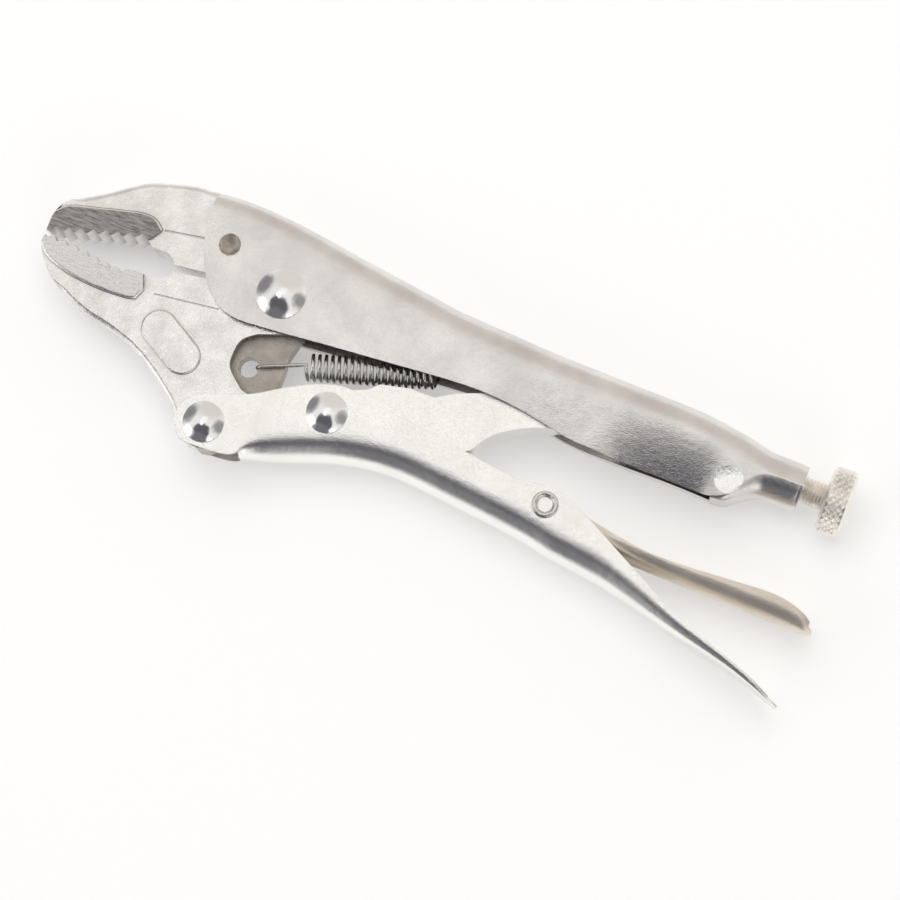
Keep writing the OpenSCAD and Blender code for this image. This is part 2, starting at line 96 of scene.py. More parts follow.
@dataclass(frozen=True)
class MetalFinish:
    """A metal surface: two tones that cloud into each other, gloss, plating texture, grinding marks and
    painted shade that darkens its creases.

    Sizes are millimetres. A slope is how steep the texture's waves are, as height over width.
    """

    name: str
    tone: tuple[float, float, float]
    shade: tuple[float, float, float]
    roughness: tuple[float, float]
    peel_mm: float = 1.1
    peel_slope: float = 0.02
    speck_mm: float = 0.4
    speck_slope: float = 0.03
    grain: Grain = Grain.NONE
    grain_mm: float = 0.3
    grain_slope: float = 0.0
    cloud_mm: float = 14.0
    # Painted shade: how much an ambient occlusion node darkens the colour in creases, and how far it looks, in
    # millimetres
    painted_crease_shade: float = 0.0
    painted_crease_shade_mm: float = 2.2

    def material(self) -> bpy.types.Material:
        """Builds the node material once and returns it.

        Returns:
            The Blender material of this finish.
        """
        title = f"{self.name}_finish"
        known = bpy.data.materials.get(title)
        if known is not None:
            return known
        made = bpy.data.materials.new(title)
        made.use_nodes = True
        nodes, links = made.node_tree.nodes, made.node_tree.links
        shader = nodes["Principled BSDF"]
        shader.inputs["Metallic"].default_value = 1.0
        coords = nodes.new("ShaderNodeTexCoord")

        def noise(size_mm: float, detail: float, stretch: Grain = Grain.NONE) -> bpy.types.Node:
            """A noise pattern with features of about size_mm, drawn out along the grain."""
            mapping = nodes.new("ShaderNodeMapping")
            mapping.inputs["Scale"].default_value = stretch.value
            pattern = nodes.new("ShaderNodeTexNoise")
            pattern.inputs["Scale"].default_value = 1.0 / (size_mm * MM)
            pattern.inputs["Detail"].default_value = detail
            links.new(coords.outputs["Object"], mapping.inputs["Vector"])
            links.new(mapping.outputs["Vector"], pattern.inputs["Vector"])
            return pattern

        def spread(pattern: bpy.types.Node, low: float, high: float) -> bpy.types.NodeSocket:
            """Stretches the middle of a noise pattern over a range."""
            node = nodes.new("ShaderNodeMapRange")
            node.inputs["From Min"].default_value, node.inputs["From Max"].default_value = PATTERN_MIDDLE
            node.inputs["To Min"].default_value = low
            node.inputs["To Max"].default_value = high
            links.new(pattern.outputs["Fac"], node.inputs["Value"])
            return node.outputs["Result"]

        tint = nodes.new("ShaderNodeMix")
        tint.data_type = "RGBA"
        tint.inputs["A"].default_value = (*self.shade, 1.0)
        tint.inputs["B"].default_value = (*self.tone, 1.0)
        specks = noise(self.speck_mm, 2.0)
        marks = noise(self.grain_mm, 3.0, self.grain) if self.grain is not Grain.NONE else None
        clouds = noise(self.cloud_mm, 3.0) if marks is None else marks
        links.new(spread(clouds, 0.0, 1.0), tint.inputs["Factor"])
        colour = tint.outputs["Result"]
        # Painted shade: a local ambient occlusion node darkens the base colour in creases and corners
        if self.painted_crease_shade > 0.0:
            corner = nodes.new("ShaderNodeAmbientOcclusion")
            corner.only_local = True
            corner.samples = 8
            corner.inputs["Distance"].default_value = self.painted_crease_shade_mm * MM
            crease_shade_range = nodes.new("ShaderNodeMapRange")
            crease_shade_range.inputs["From Min"].default_value = 0.35
            crease_shade_range.inputs["From Max"].default_value = 0.95
            crease_shade_range.inputs["To Min"].default_value = 1.0 - self.painted_crease_shade
            crease_shade_range.inputs["To Max"].default_value = 1.0
            links.new(corner.outputs["AO"], crease_shade_range.inputs["Value"])
            darken = nodes.new("ShaderNodeVectorMath")
            darken.operation = "SCALE"
            links.new(colour, darken.inputs[0])
            links.new(crease_shade_range.outputs["Result"], darken.inputs["Scale"])
            colour = darken.outputs["Vector"]
        links.new(colour, shader.inputs["Base Color"])
        links.new(spread(specks if marks is None else marks, *self.roughness), shader.inputs["Roughness"])

        layers = [(noise(self.peel_mm, 1.0), self.peel_slope * self.peel_mm),
                  (specks, self.speck_slope * self.speck_mm)]
        if marks is not None:
            layers.append((marks, self.grain_slope * self.grain_mm))
        previous = None
        for pattern, depth_mm in layers:
            bump = nodes.new("ShaderNodeBump")
            bump.inputs["Strength"].default_value = 1.0
            bump.inputs["Distance"].default_value = depth_mm * MM * BUMP_GAIN
            links.new(pattern.outputs["Fac"], bump.inputs["Height"])
            if previous is not None:
                links.new(previous.outputs["Normal"], bump.inputs["Normal"])
            previous = bump
        links.new(previous.outputs["Normal"], shader.inputs["Normal"])
        return made


# A noise pattern stays mostly in the middle of its range, so its depth is stretched too
PATTERN_MIDDLE = (0.35, 0.65)
BUMP_GAIN = 4.0

# Painted shade: the upper handle takes a darker copy of the lower handle's plating, for the darker reflections
# along it
SHADED_UPPER_SKIN = MetalFinish("shaded_plated_upper_sheet", (0.80, 0.78, 0.76), (0.68, 0.66, 0.645), (0.12, 0.20),
                         peel_mm=1.6, peel_slope=0.007, speck_mm=0.28, speck_slope=0.06)
LOWER_SKIN = MetalFinish("plated_lower_sheet", (0.97, 0.96, 0.93), (0.91, 0.90, 0.87), (0.12, 0.20),
                         peel_mm=1.6, peel_slope=0.007, speck_mm=0.28, speck_slope=0.06)
# The jaws' plating, with painted shade darkening its creases
PLATED_FORGING = MetalFinish("plated_forging", (0.88, 0.86, 0.84), (0.74, 0.72, 0.70), (0.18, 0.30),
                             peel_mm=2.4, peel_slope=0.012, speck_mm=0.4, speck_slope=0.03, cloud_mm=6.0,
                             painted_crease_shade=0.7)
# One ground finish in two copies: a dark one of painted shade for the upper jaw's tooth cheeks and a pale one
# of painted light for the lower jaw's
SHADED_CHEEK = MetalFinish("shaded_ground_cheek", (0.50, 0.48, 0.47), (0.20, 0.19, 0.19), (0.25, 0.45),
                         speck_slope=0.09, grain=Grain.ALONG_TOOL, grain_mm=0.4, grain_slope=0.05, painted_crease_shade=0.5)
LIT_CHEEK = MetalFinish("lit_ground_cheek", (0.95, 0.94, 0.93), (0.78, 0.77, 0.76), (0.25, 0.45),
                         speck_slope=0.09, grain=Grain.ALONG_TOOL, grain_mm=0.4, grain_slope=0.045, painted_crease_shade=0.5)
# Painted shade: the lower jaw's recessed spring web takes this darker copy of the forging's plating, with
# painted shade in its creases too
SHADED_POCKET_WEB = MetalFinish("shaded_pocket_web", (0.58, 0.54, 0.49), (0.44, 0.40, 0.36), (0.3, 0.45), speck_slope=0.1,
                         cloud_mm=5.0, painted_crease_shade=0.5)
# Painted shade: the stake mark's dish takes a darker, browner copy of the sheet's plating
SHADED_STAKE_MARK = MetalFinish("shaded_stake_mark", (0.60, 0.55, 0.50), (0.38, 0.34, 0.30), (0.45, 0.6), speck_slope=0.06,
                         cloud_mm=2.0)
# Painted highlight: the pinch facet on the tube takes a near-white, lit copy of the sheet's plating
LIT_PINCH_FACET = MetalFinish("lit_pinch_facet", (1.0, 1.0, 0.99), (0.97, 0.97, 0.96), (0.25, 0.35), speck_slope=0.02)
POLISHED_HEAD = MetalFinish("polished_head", (0.93, 0.93, 0.93), (0.88, 0.88, 0.89), (0.10, 0.15),
                            peel_mm=2.5, peel_slope=0.010, speck_slope=0.003)
TURNED_RIVET = MetalFinish("turned_rivet", (0.84, 0.83, 0.81), (0.70, 0.69, 0.67), (0.14, 0.28),
                           speck_slope=0.05)
LEVER_SKIN = MetalFinish("lever_skin", (0.90, 0.83, 0.74), (0.76, 0.69, 0.60), (0.34, 0.44), peel_slope=0.01,
                         speck_slope=0.03)
SCREW_STEEL = MetalFinish("screw_steel", (0.97, 0.93, 0.88), (0.86, 0.82, 0.76), (0.28, 0.42),
                          speck_slope=0.05, cloud_mm=2.0)
SPRING_WIRE = MetalFinish("spring_wire", (0.84, 0.82, 0.80), (0.58, 0.56, 0.54), (0.12, 0.22),
                          speck_slope=0.04)


def object_mode() -> None:
    """Leaves edit mode if a mesh is open."""
    if bpy.context.object is not None and bpy.context.object.mode != "OBJECT":
        bpy.ops.object.mode_set(mode="OBJECT")


def select_only(piece: bpy.types.Object) -> None:
    """Makes one object the only selected one, and active."""
    object_mode()
    bpy.ops.object.select_all(action="DESELECT")
    piece.select_set(True)
    bpy.context.view_layer.objects.active = piece


def open_mesh(piece: bpy.types.Object) -> bmesh.types.BMesh:
    """Enters edit mode on a piece with nothing selected.

    Args:
        piece: The mesh object to edit.

    Returns:
        The live edit mesh.
    """
    select_only(piece)
    bpy.ops.object.mode_set(mode="EDIT")
    bpy.ops.mesh.select_mode(type="VERT")
    bpy.ops.mesh.select_all(action="DESELECT")
    return bmesh.from_edit_mesh(piece.data)


def pick(piece: bpy.types.Object, kind: str, test: Callable) -> int:
    """Selects the vertices, edges or faces that pass a test, and nothing else.

    Args:
        piece: The mesh object, open in edit mode.
        kind: "VERT", "EDGE" or "FACE".
        test: Called with each element; a true answer selects it.

    Returns:
        How many elements were selected.
    """
    bpy.ops.mesh.select_mode(type=kind)
    bpy.ops.mesh.select_all(action="DESELECT")
    live = bmesh.from_edit_mesh(piece.data)
    elements = {"VERT": live.verts, "EDGE": live.edges, "FACE": live.faces}[kind]
    count = 0
    for element in elements:
        if test(element):
            element.select_set(True)
            count += 1
    bmesh.update_edit_mesh(piece.data)
    return count


def add_modifier(piece: bpy.types.Object, kind: str, **settings: object) -> None:
    """Adds a modifier with its settings and applies it."""
    select_only(piece)
    modifier = piece.modifiers.new(kind.title(), kind)
    for name, value in settings.items():
        setattr(modifier, name, value)
    bpy.ops.object.modifier_apply(modifier=modifier.name)


def settle(piece: bpy.types.Object, name: str, smooth_deg: float = SHEET_SMOOTH_DEG,
           turn_out: bool = True) -> None:
    """Bakes the object's place into its mesh, closes its seams and shades it smooth up to an angle.

    Args:
        piece: The mesh object.
        name: Its final name.
        smooth_deg: Edges sharper than this stay sharp.
        turn_out: Whether the faces are turned outwards. A sheet with its thickness already points
            the right way.
    """
    select_only(piece)
    bpy.ops.object.transform_apply(location=True, rotation=True, scale=True)
    bpy.ops.object.mode_set(mode="EDIT")
    bpy.ops.mesh.select_all(action="SELECT")
    bpy.ops.mesh.remove_doubles(threshold=MERGE_MM * MM)
    bpy.ops.mesh.delete_loose(use_verts=True, use_edges=True, use_faces=False)
    bpy.ops.mesh.select_all(action="SELECT")
    bpy.ops.mesh.fill_holes(sides=SMALL_HOLE_SIDES)
    if turn_out:
        bpy.ops.mesh.normals_make_consistent(inside=False)
    bpy.ops.object.mode_set(mode="OBJECT")
    bpy.ops.object.shade_smooth_by_angle(angle=math.radians(smooth_deg))
    piece.name = name
    piece.data.name = name


def dress(piece: bpy.types.Object, *finishes: MetalFinish) -> None:
    """Gives a piece its finishes, one material slot each."""
    piece.data.materials.clear()
    for finish in finishes:
        piece.data.materials.append(finish.material())


def mount_piece(piece: bpy.types.Object, body: str, replaced: Sequence[str] = ()) -> None:
    """Hangs a finished piece on its body and hides what it replaces."""
    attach(piece, body)
    if replaced:
        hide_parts(*replaced)
    log.info("%s rides on %s, %d faces", piece.name, body, len(piece.data.polygons))


# ------------------------------------------------------------------ turned pieces

def draw_line(name: str, points: Sequence[Vector], closed: bool) -> bpy.types.Object:
    """Draws a chain of edges by extruding one vertex from point to point.

    Args:
        name: Name of the new object.
        points: Scene positions along the chain.
        closed: Whether an edge joins the last point to the first.

    Returns:
        The object, in edit mode with everything selected.
    """
    object_mode()
    bpy.ops.object.select_all(action="DESELECT")
    bpy.ops.mesh.primitive_plane_add(size=MM, location=points[0])
    piece = bpy.context.object
    piece.name = name
    open_mesh(piece)
    bpy.ops.mesh.select_all(action="SELECT")
    bpy.ops.mesh.merge(type="CENTER")
    for here, there in zip(points, points[1:]):
        bpy.ops.mesh.extrude_vertices_move(TRANSFORM_OT_translate={"value": there - here})
    if closed:
        pick(piece, "VERT", lambda vert: len(vert.link_edges) == 1)
        bpy.ops.mesh.edge_face_add()
    bpy.ops.mesh.select_all(action="SELECT")
    return piece


def turned(name: str, profile: Sequence[tuple[float, float]], centre: Vector, axis: Vector,
           steps: int = 72) -> bpy.types.Object:
    """Spins a closed half profile round an axis.

    Args:
        name: Name of the piece.
        profile: Radius and distance along the axis of each point, in millimetres.
        centre: Scene position from which the distances along the axis count.
        axis: Direction of the axis.
        steps: Segments round the full turn.

    Returns:
        The turned piece.
    """
    side = axis.orthogonal().normalized()
    points = [centre + (side * radius + axis * along) * MM for radius, along in profile]
    on_axis = profile[0][0] < 1e-6 and profile[-1][0] < 1e-6
    piece = draw_line(name, points, closed=not on_axis)
    bpy.ops.mesh.spin(steps=steps, angle=2 * math.pi, center=centre, axis=axis)
    settle(piece, name, TURNED_SMOOTH_DEG)
    return piece


def arc_points(radius: float, height: float, base: float, steps: int = 8) -> list[tuple[float, float]]:
    """Profile of a spherical dome, from its rim to its top on the axis."""
    ball = (radius * radius + height * height) / (2 * height)
    tilt = math.asin(radius / ball)
    return [(ball * math.sin(tilt * (1 - i / steps)),
             base + ball * math.cos(tilt * (1 - i / steps)) - ball + height)
            for i in range(steps + 1)]


@dataclass(frozen=True)
class DomedRivet:
    """A solid rivet with a polished dome on both sides."""

    node: str
    body: str
    joint: str
    head_r: float
    head_h: float
    stands_on: float
    shank_r: float = 4.0
    rim: float = 0.35

    def build(self) -> bpy.types.Object:
        """Turns the rivet: shank, a short upright rim and a dome at each end."""
        dome = arc_points(self.head_r, self.head_h - self.rim, self.stands_on + self.rim)
        upper = [(self.shank_r, self.stands_on), (self.head_r, self.stands_on)] + dome
        lower = [(r, -z) for r, z in reversed(upper)]
        place = joint_point(self.joint)
        piece = turned(f"{self.node}_polished", lower + upper, at(place.x, place.y), Vector((0, 0, 1)))
        dress(piece, POLISHED_HEAD)
        mount_piece(piece, self.body, [self.node])
        return piece


# ------------------------------------------------------------------ pressed channels

@dataclass(frozen=True)
class Station:
    """Cross-section of a pressed channel at one place along the tool, in millimetres.

    tuck is how far the lower edge of each wall leans in from the full half width.
    """

    x: float
    top: float
    low: float
    half: float
    top_r: float
    low_r: float
    tuck: float = 0.0

    @property
    def middle(self) -> float:
        """Height halfway between the two edges."""
        return (self.top + self.low) / 2

    def values(self) -> tuple[float, ...]:
        """All seven sizes in order."""
        return (self.x, self.top, self.low, self.half, self.top_r, self.low_r, self.tuck)


def smooth_stations(rows: Sequence[Sequence[float]], steps: int) -> list[Station]:
    """Fills in stations on a smooth curve through the given ones.

    Args:
        rows: The sizes of each given station.
        steps: Stations from one given station to the next.

    Returns:
        Stations along the whole curve.
    """
    line = [Station(*row) for row in rows]
    filled = []
    for i in range(len(line) - 1):
        knots = [line[max(i - 1, 0)], line[i], line[i + 1], line[min(i + 2, len(line) - 1)]]
        before, start, end, after = (knot.values() for knot in knots)
        for k in range(steps):
            t = k / steps
            filled.append(Station(*(
                0.5 * (2 * q + (r - p) * t + (2 * p - 5 * q + 4 * r - w) * t ** 2
                       + (3 * q - p - 3 * r + w) * t ** 3)
                for p, q, r, w in zip(before, start, end, after))))
    return filled + [line[-1]]


class OpenSide(Enum):
    """Which side of a pressed channel has no sheet."""

    TOP = 1
    BOTTOM = -1


@dataclass
class PressedChannel:
    """Sheet pressed over a former: rings skinned along the tool, one side open, then given a thickness."""

    name: str
    stations: list[Station]
    sheet: float
    open_side: OpenSide
    open_until: float = 1000.0
    both_open_until: float = -1000.0
    lip: float = 0.4
    thin_from: float = 1000.0
    thin_to: float = 1001.0
    thin_share: float = 1.0
    corner_steps: int = 4
    wall_cuts: int = 3
    lean_curve: float = 1.4
    flat_normal: float = 0.85
    lip_angle: float = 50.0

    def middle_at(self, x: float) -> float:
        """Height of the channel's middle at a place along the tool."""
        line = self.stations
        for near, far in zip(line, line[1:]):
            if x <= far.x:
                share = max(0.0, (x - near.x) / (far.x - near.x))
                return near.middle + share * (far.middle - near.middle)
        return line[-1].middle

    def add_ring(self, piece: bpy.types.Object, station: Station) -> None:
        """Adds one ring: a square turned across the tool, stretched to size, its corners rounded."""
        centre = at(station.x, station.middle)
        bpy.ops.mesh.select_all(action="DESELECT")
        bpy.ops.mesh.primitive_plane_add(size=1.0, location=centre, rotation=(0.0, math.pi / 2, 0.0))
        size = Vector((1.0, (station.top - station.low) * MM, 2 * station.half * MM))
        bpy.ops.transform.resize(value=size, center_override=centre)
        bpy.ops.mesh.delete(type="ONLY_FACE")
        plane = centre.x
        for height, radius in ((station.top, station.top_r), (station.low, station.low_r)):
            level = at(0, height).y
            pick(piece, "VERT", lambda vert: abs(vert.co.x - plane) < SAME_PLACE
                 and abs(vert.co.y - level) < SAME_PLACE)
            bpy.ops.mesh.bevel(offset=radius * MM, segments=self.corner_steps, affect="VERTICES", profile=0.5)
        wall = station.half * MM - SAME_PLACE
        pick(piece, "EDGE", lambda edge: all(abs(v.co.x - plane) < SAME_PLACE and abs(v.co.z - centre.z) > wall
                                             for v in edge.verts))
        bpy.ops.mesh.subdivide(number_cuts=self.wall_cuts)
        if station.tuck > 0.01:
            self.lean(piece, station, plane)

    def lean(self, piece: bpy.types.Object, station: Station, plane: float) -> None:
        """Leans the walls of one ring in towards their lower edge, row by row."""
        live = bmesh.from_edit_mesh(piece.data)
        start = at(0, station.top - station.top_r).y
        reach = start - at(0, station.low).y
        rows = {round(v.co.y, 7) for v in live.verts
                if abs(v.co.x - plane) < SAME_PLACE and v.co.y < start - 10 * SAME_PLACE}
        for row in sorted(rows):
            share = ((start - row) / reach) ** self.lean_curve
            pick(piece, "VERT", lambda vert: abs(vert.co.x - plane) < SAME_PLACE
                 and abs(vert.co.y - row) < 2 * SAME_PLACE)
            squeeze = 1 - station.tuck * share / station.half
            bpy.ops.transform.resize(value=(1.0, 1.0, squeeze), center_override=at(station.x, station.middle))

    def skin(self) -> bpy.types.Object:
        """Adds all rings and bridges each to the next.

        Returns:
            The open-ended skin, in edit mode.
        """
        object_mode()
        bpy.ops.object.select_all(action="DESELECT")
        bpy.ops.mesh.primitive_plane_add(size=MM, location=(0.0, 0.0, 0.0))
        piece = bpy.context.object
        open_mesh(piece)
        bpy.ops.mesh.select_all(action="SELECT")
        bpy.ops.mesh.delete(type="VERT")
        for station in self.stations:
            self.add_ring(piece, station)
        for near, far in zip(self.stations, self.stations[1:]):
            planes = (at(near.x, 0).x, at(far.x, 0).x)
            pick(piece, "EDGE", lambda edge: any(all(abs(v.co.x - p) < SAME_PLACE for v in edge.verts)
                                                 for p in planes))
            bpy.ops.mesh.bridge_edge_loops()
        return piece

    def cut_open(self, piece: bpy.types.Object) -> None:
        """Deletes the faces on the channel's open side, and on both sides in front of both_open_until."""
        def has_no_sheet(face: bmesh.types.BMFace) -> bool:
            """Says whether a face spans a gap between the two walls."""
            centre = (face.calc_center_median() - MAIN_PIVOT) / MM
            above = 1 if centre.y > self.middle_at(centre.x) else -1
            on_open_side = above == self.open_side.value and centre.x < self.open_until
            return abs(face.normal.z) < self.flat_normal and (on_open_side or centre.x < self.both_open_until)

        pick(piece, "FACE", has_no_sheet)
        bpy.ops.mesh.delete(type="FACE")

    def set_thickness(self, piece: bpy.types.Object) -> None:
        """Writes how much of the sheet's thickness each place has, for a tail that is drawn out thin."""
        group = piece.vertex_groups.new(name="thickness")
        for vert in piece.data.vertices:
            x = (vert.co.x - MAIN_PIVOT.x) / MM
            share = min(1.0, max(0.0, (x - self.thin_from) / (self.thin_to - self.thin_from)))
            group.add([vert.index], 1 + share * (self.thin_share - 1), "REPLACE")

    def build(self) -> bpy.types.Object:
        """Builds the channel.

        Returns:
            The finished sheet, ready to be dressed.
        """
        piece = self.skin()
        bpy.ops.mesh.select_all(action="SELECT")
        bpy.ops.mesh.normals_make_consistent(inside=False)
        self.cut_open(piece)
        object_mode()
        self.set_thickness(piece)
        add_modifier(piece, "SOLIDIFY", thickness=self.sheet * MM, offset=-1.0, use_even_offset=True,
                     vertex_group="thickness")
        piece.vertex_groups.clear()
        add_modifier(piece, "BEVEL", width=self.lip * MM, segments=2, limit_method="ANGLE",
                     angle_limit=math.radians(self.lip_angle))
        add_modifier(piece, "SUBSURF", levels=1, render_levels=1)
        settle(piece, self.name, turn_out=False)
        return piece


# ------------------------------------------------------------------ forgings

@dataclass
class Forging:
    """A CAD solid whose copy is merged, given broken edges and dressed."""

    node: str
    edge_mm: float = 0.3
    merge_mm: float = 0.004
    same_face_deg: float = 1.0
    edge_deg: float = 35.0
    soft_edge_deg: float = 60.0
    soft_edges: tuple[tuple[float, Callable[[Vector, Vector], bool]], ...] = ()

    def build(self) -> bpy.types.Object:
        """Copies the solid, joins its triangles to faces and bevels its edges.

        Returns:
            The finished forging.
        """
        piece = frame["nodes"][self.node].copy()
        piece.data = frame["nodes"][self.node].data.copy()
        piece.parent = None
        for key in list(piece.keys()):
            del piece[key]
        bpy.context.scene.collection.objects.link(piece)
        open_mesh(piece)
        bpy.ops.mesh.select_all(action="SELECT")
        bpy.ops.mesh.remove_doubles(threshold=self.merge_mm * MM)
        bpy.ops.mesh.customdata_custom_splitnormals_clear()
        bpy.ops.mesh.dissolve_limited(angle_limit=math.radians(self.same_face_deg))
        object_mode()
        for width, belongs in self.soft_edges:
            self.soften(piece, width, belongs)
        add_modifier(piece, "BEVEL", width=self.edge_mm * MM, segments=2, limit_method="ANGLE",
                     angle_limit=math.radians(self.edge_deg), use_clamp_overlap=True)
        settle(piece, f"{self.node}_finish", FORGING_SMOOTH_DEG)
        add_modifier(piece, "WEIGHTED_NORMAL", keep_sharp=True)
        return piece

    def soften(self, piece: bpy.types.Object, width: float, belongs: Callable[[Vector, Vector], bool]) -> None:
        """Rounds the sharp edges that a rule picks.

        Args:
            piece: The forging.
            width: Width of the rounding in millimetres.
            belongs: Says of an edge, from its two ends in tool millimetres, whether it is rounded.
        """
        def is_soft(edge: bmesh.types.BMEdge) -> bool:
            """Says whether an edge is sharp and belongs to the rule."""
            ends = [(vert.co - MAIN_PIVOT) / MM for vert in edge.verts]
            sharp = len(edge.link_faces) == 2 and edge.calc_face_angle(0.0) > math.radians(self.soft_edge_deg)
            return sharp and belongs(*ends)

        open_mesh(piece)
        if pick(piece, "EDGE", is_soft):
            bpy.ops.mesh.bevel(offset=width * MM, segments=4, affect="EDGES", profile=0.5)
        object_mode()


# ------------------------------------------------------------------ sub-assemblies

# Half thicknesses of the forgings; the spring's web has a little to spare
UPPER_WEB_HALF = 5.6
LOWER_WEB_HALF = 5.5
TOOTH_HALF = 6.5
PAD_HALF = 6.1
SPRING_WEB_HALF = 2.6

def line_height(line: Sequence[tuple[float, float]], x: float) -> float:
    """Height of a broken line above or below x, in tool millimetres."""
    for (x0, y0), (x1, y1) in zip(line, line[1:]):
        if x <= x1:
            return y0 + (y1 - y0) * (x - x0) / (x1 - x0)
    return line[-1][1]


def on_level(half: float, a: Vector, b: Vector) -> bool:
    """Says whether both ends of an edge lie at the same half thickness from the tool's middle plane."""
    return abs(abs(a.z) - half) < 0.02 and abs(a.z - b.z) < 0.01


def grind_cheeks(piece: bpy.types.Object, cheek_mm: float = 6.3) -> None:
    """Gives the flat outer cheeks of a tooth block the ground finish in the second slot."""
    for face in piece.data.polygons:
        if abs(face.center.z - MAIN_PIVOT.z) > cheek_mm * MM and abs(face.normal.z) > 0.9:
            face.material_index = 1


@dataclass
class UpperSide:
    """The fixed side: pressed handle with its rear tube, the upper jaw and the main rivet."""

    sheet: float = 1.6
    thread_r: float = 4.06
    stations: tuple[tuple[float, ...], ...] = (
        (-28.5, 22.8, 14.0, 7.8, 5.0, 0.3), (-26.0, 23.1, 4.0, 7.8, 5.0, 0.3),
        (-20.0, 23.3, -6.5, 7.8, 5.0, 0.3), (-12.0, 22.9, -11.2, 7.8, 5.0, 0.3),
        (0.0, 21.6, -11.1, 7.8, 5.4, 0.3), (20.0, 18.4, -9.6, 7.8, 6.2, 0.3),
        (40.0, 15.4, -8.3, 7.8, 6.6, 0.3), (50.0, 13.8, -7.6, 7.8, 6.8, 0.3),
        (64.0, 12.8, -7.2, 7.8, 6.8, 0.3), (78.0, 11.7, -8.7, 7.8, 6.8, 0.3, 0.6),
        (91.0, 11.1, -11.5, 7.8, 6.8, 0.3, 0.8), (100.0, 10.8, -12.1, 7.8, 6.8, 0.3, 0.9),
        (108.0, 10.5, -12.6, 7.8, 6.8, 0.3, 2.4), (122.0, 10.0, -12.9, 7.8, 6.8, 0.3, 3.2),
        (131.0, 9.1, -13.3, 7.7, 6.8, 0.4, 2.9), (135.0, 8.4, -13.4, 7.3, 6.7, 0.8, 1.3),
        (139.0, 7.8, -13.2, 7.0, 6.4, 2.4, 0.0), (143.0, 6.8, -11.0, 6.9, 6.3, 5.0),
        (146.5, 6.0, -8.8, 6.95, 6.7, 6.4), (150.0, 5.7, -8.5, 7.0, 6.9, 6.9),
        (157.6, 5.5, -8.5, 7.0, 6.9, 6.9), (158.4, 5.1, -8.1, 6.6, 6.5, 6.5))
    stake: tuple[float, float] = (-19.5, 8.5)
    stake_r: float = 3.2
    stake_depth: float = 0.8
    pinch: tuple[float, float] = (138.3, -6.9)
    pinch_r: float = 4.1
    pinch_depth: float = 0.3
    punch_margin: float = 1.8
    tube_from: float = 134.5
    punch_cuts: int = 9

    def handle(self) -> None:
        """The pressed upper handle, marked by punches on each side, and the threaded ring in its tube."""
        stations = smooth_stations(self.stations, 3)
        shell = PressedChannel("upper_handle_shell", stations, self.sheet, OpenSide.BOTTOM,
                               open_until=self.tube_from).build()
        # Painted shade on the whole upper sheet
        dress(shell, SHADED_UPPER_SKIN, SHADED_STAKE_MARK, LIT_PINCH_FACET)
        # Painted shade in the stake mark's dish
        self.punch(shell, self.stake, self.stake_r, self.stake_depth, 1)
        # Painted highlight on the pinch facet
        self.punch(shell, self.pinch, self.pinch_r, self.pinch_depth, 2)
        settle(shell, shell.name, turn_out=False)
        mount_piece(shell, "upper_side", ["upper_handle"])

        ring = [(self.thread_r, 142.0), (5.2, 142.0), (6.2, 146.0), (6.2, 157.9), (self.thread_r + 0.5, 157.9),
                (self.thread_r, 157.4)]
        insert = turned("rear_tube_thread", ring, at(0, SCREW_Y), Vector((1, 0, 0)), 48)
        dress(insert, TURNED_RIVET)
        mount_piece(insert, "upper_side")

    def punch(self, shell: bpy.types.Object, place: tuple[float, float], radius: float, depth: float,
              slot: int) -> None:
        """Presses a round dish into the outside of both walls and gives it a finish of its own.

        Args:
            shell: The handle.
            place: Centre of the dish, in tool millimetres.
            radius: Radius of its rim.
            depth: How deep it is.
            slot: Material slot of its finish.
        """
        spot = at(*place)

        def is_outside(where: Vector, normal: Vector) -> bool:
            """Says whether a place lies on the outside of a wall."""
            return abs(normal.z) > 0.6 and normal.z * (where.z - MAIN_PIVOT.z) > 0

        def away(where: Vector) -> float:
            """Distance from the dish's centre line in millimetres."""
            return (where - spot).xy.length / MM

        open_mesh(shell)
        pick(shell, "FACE", lambda face: is_outside(face.calc_center_median(), face.normal)
             and away(face.calc_center_median()) < radius + self.punch_margin)
        bpy.ops.mesh.subdivide(number_cuts=self.punch_cuts)
        live = bmesh.from_edit_mesh(shell.data)
        live.normal_update()
        pressed = [vert for vert in live.verts if away(vert.co) < radius and is_outside(vert.co, vert.normal)]
        for vert in pressed:
            sink = depth * (1 - (away(vert.co) / radius) ** 2) * MM
            vert.co.z -= math.copysign(sink, vert.co.z - MAIN_PIVOT.z)
        for face in live.faces:
            centre = face.calc_center_median()
            if away(centre) < radius and is_outside(centre, face.normal):
                face.material_index = slot
        bmesh.update_edit_mesh(shell.data)
        object_mode()

    def jaw(self) -> None:
        """The upper jaw, with a rounded back and ground tooth cheeks."""
        back = ((-73, 1.0), (-68, 4.6), (-55, 12.6), (-42, 19.0), (-28.6, 21.4))

        def is_back(a: Vector, b: Vector) -> bool:
            """Picks the long edges along the top of the jaw, in front of the handle."""
            return on_level(UPPER_WEB_HALF, a, b) and all(
                p.y > line_height(back, p.x) and -69 < p.x < -28.5 for p in (a, b))

        def is_block(a: Vector, b: Vector) -> bool:
            """Picks the outer edge of the tooth block."""
            return on_level(TOOTH_HALF, a, b) and all(p.y > -2.2 + 0.262 * (p.x + 72.4) for p in (a, b))

        piece = Forging("upper_jaw", soft_edges=((1.9, is_back), (1.1, is_block))).build()
        # Painted shade: the upper jaw's tooth cheeks take the dark copy of the ground finish
        dress(piece, PLATED_FORGING, SHADED_CHEEK)
        grind_cheeks(piece)
        mount_piece(piece, "upper_side", ["upper_jaw"])

    def build(self) -> None:
        """Builds the fixed side."""
        self.handle()
        self.jaw()
        DomedRivet("main_pivot_rivet", "upper_side", "lower_jaw_hinge", 7.3, 3.0, 7.8).build()


